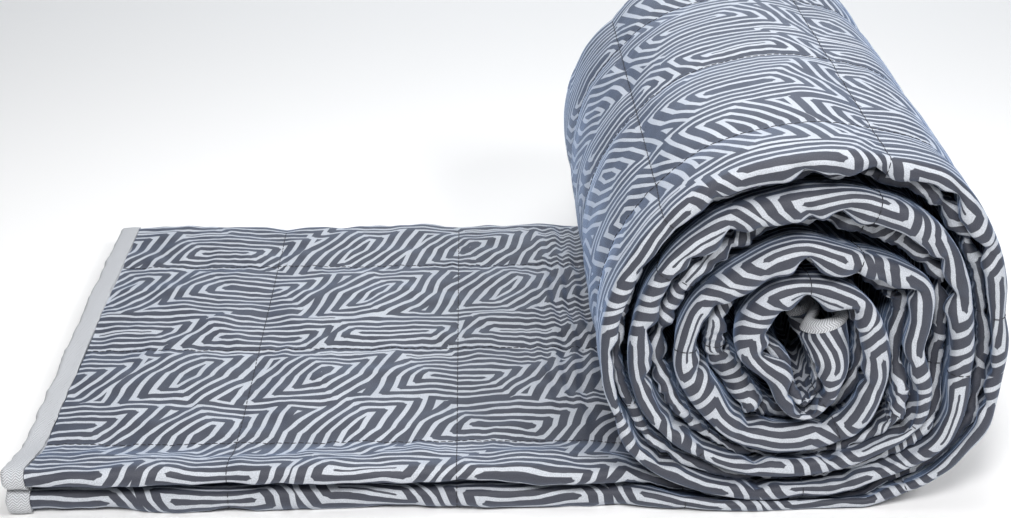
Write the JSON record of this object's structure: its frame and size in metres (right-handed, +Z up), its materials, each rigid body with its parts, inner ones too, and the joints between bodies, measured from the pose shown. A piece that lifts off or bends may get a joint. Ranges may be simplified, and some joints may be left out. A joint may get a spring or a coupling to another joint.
{
  "type": "quilted blanket",
  "caption": "Light quilted cotton summer blanket, folded into a long strip and rolled up from one end, with its last stretch lying flat.",
  "frame": {"origin": "middle of the footprint, on the surface that the blanket lies on", "axes": "+X along the strip from its loose bound end towards the roll, +Y across the strip away from its two front folds, +Z up"},
  "size_m": [0.565, 0.3794, 0.2212],
  "materials": {
    "quilt_cloth": "printed cotton satin, quilted, slate grey maze on pale grey",
    "binding_cloth": "pale grey herringbone cotton"
  },
  "bodies": {
    "root": {"quilt": "quilt_cloth", "binding_outer_end": "binding_cloth", "binding_inner_end": "binding_cloth"}
  },
  "joints": []
}
